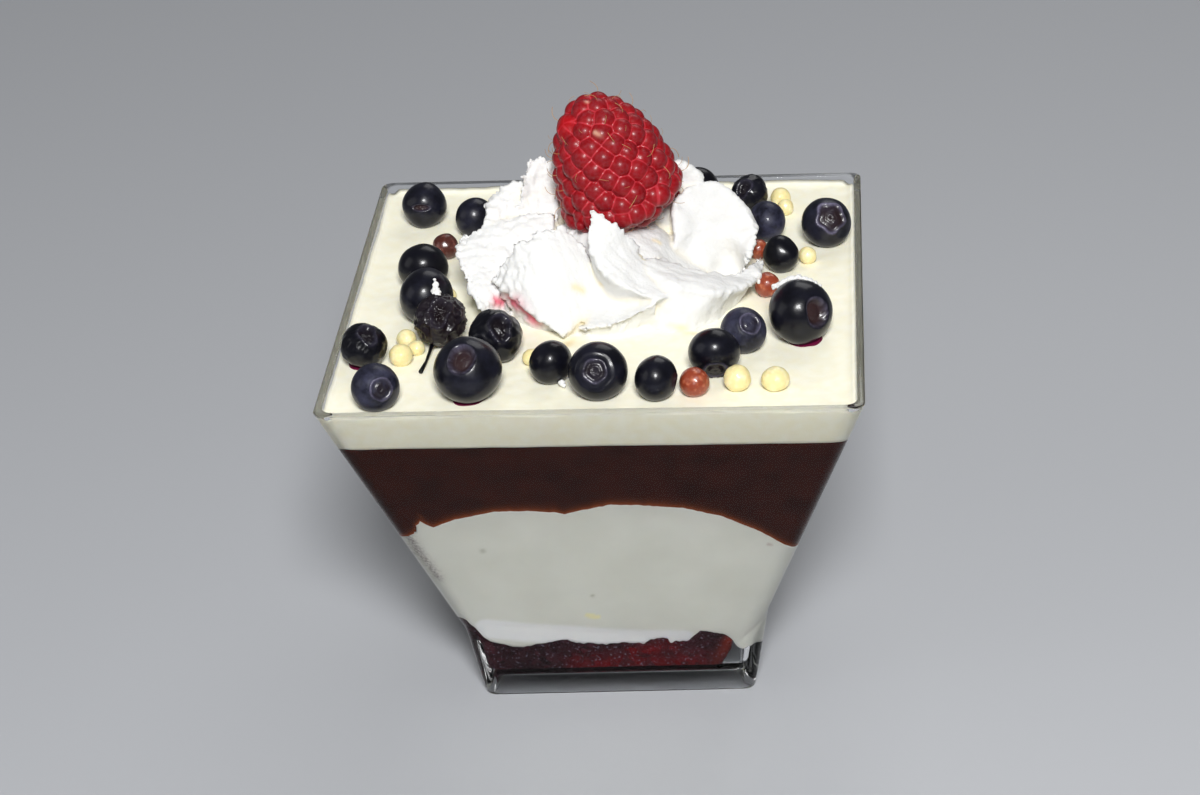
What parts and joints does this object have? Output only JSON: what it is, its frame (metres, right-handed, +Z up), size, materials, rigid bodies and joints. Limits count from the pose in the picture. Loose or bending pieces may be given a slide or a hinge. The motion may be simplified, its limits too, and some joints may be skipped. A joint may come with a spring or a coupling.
{
  "type": "chocolate mousse dessert",
  "caption": "Layered chocolate mousse in a clear square flared cup, topped with a piped cream rosette, a raspberry, blueberries and crisp pearls.",
  "frame": {"origin": "centre of the foot's underside, on the surface that the cup stands on", "axes": "+Z up through the cup's axis; -Y is the front of the cup as seen in the picture; X and Y run along the rim's sides"},
  "size_m": [0.08, 0.08, 0.091],
  "materials": {
    "clear_plastic": "clear polished",
    "fruit_crumb": "moist crumb",
    "white_mousse": "satin",
    "chocolate_mousse": "satin",
    "pale_cream": "satin",
    "whipped_cream": "matt, ragged",
    "raspberry": "moist, fine hairs",
    "blueberry": "satin with bloom",
    "milk_chocolate_pearl": "gloss",
    "white_pearl": "satin"
  },
  "bodies": {
    "root": {"cup": "clear_plastic", "fruit_base": "fruit_crumb", "white_mousse": "white_mousse", "chocolate_mousse": "chocolate_mousse", "cream_topping": "pale_cream", "whipped_cream": "whipped_cream", "raspberry": "raspberry", "blueberry_01": "blueberry", "blueberry_02": "blueberry", "blueberry_03": "blueberry", "blueberry_04": "blueberry", "blueberry_05": "blueberry", "blueberry_06": "blueberry", "blueberry_07": "blueberry", "blueberry_08": "blueberry", "blueberry_09": "blueberry", "blueberry_10": "blueberry", "blueberry_11": "blueberry", "blueberry_12": "blueberry", "blueberry_13": "blueberry", "blueberry_14": "blueberry", "blueberry_15": "blueberry", "blueberry_16": "blueberry", "blueberry_17": "blueberry", "blueberry_18": "blueberry", "blueberry_19": "blueberry", "blueberry_20": "blueberry", "pearl_brown_1": "milk_chocolate_pearl", "pearl_brown_2": "milk_chocolate_pearl", "pearl_brown_3": "milk_chocolate_pearl", "pearl_brown_4": "milk_chocolate_pearl", "pearl_pale_1": "white_pearl", "pearl_pale_2": "white_pearl", "pearl_pale_3": "white_pearl", "pearl_pale_4": "white_pearl", "pearl_pale_5": "white_pearl", "pearl_pale_6": "white_pearl", "pearl_pale_7": "white_pearl", "pearl_pale_8": "white_pearl", "pearl_pale_9": "white_pearl", "pearl_pale_10": "white_pearl"}
  },
  "joints": []
}
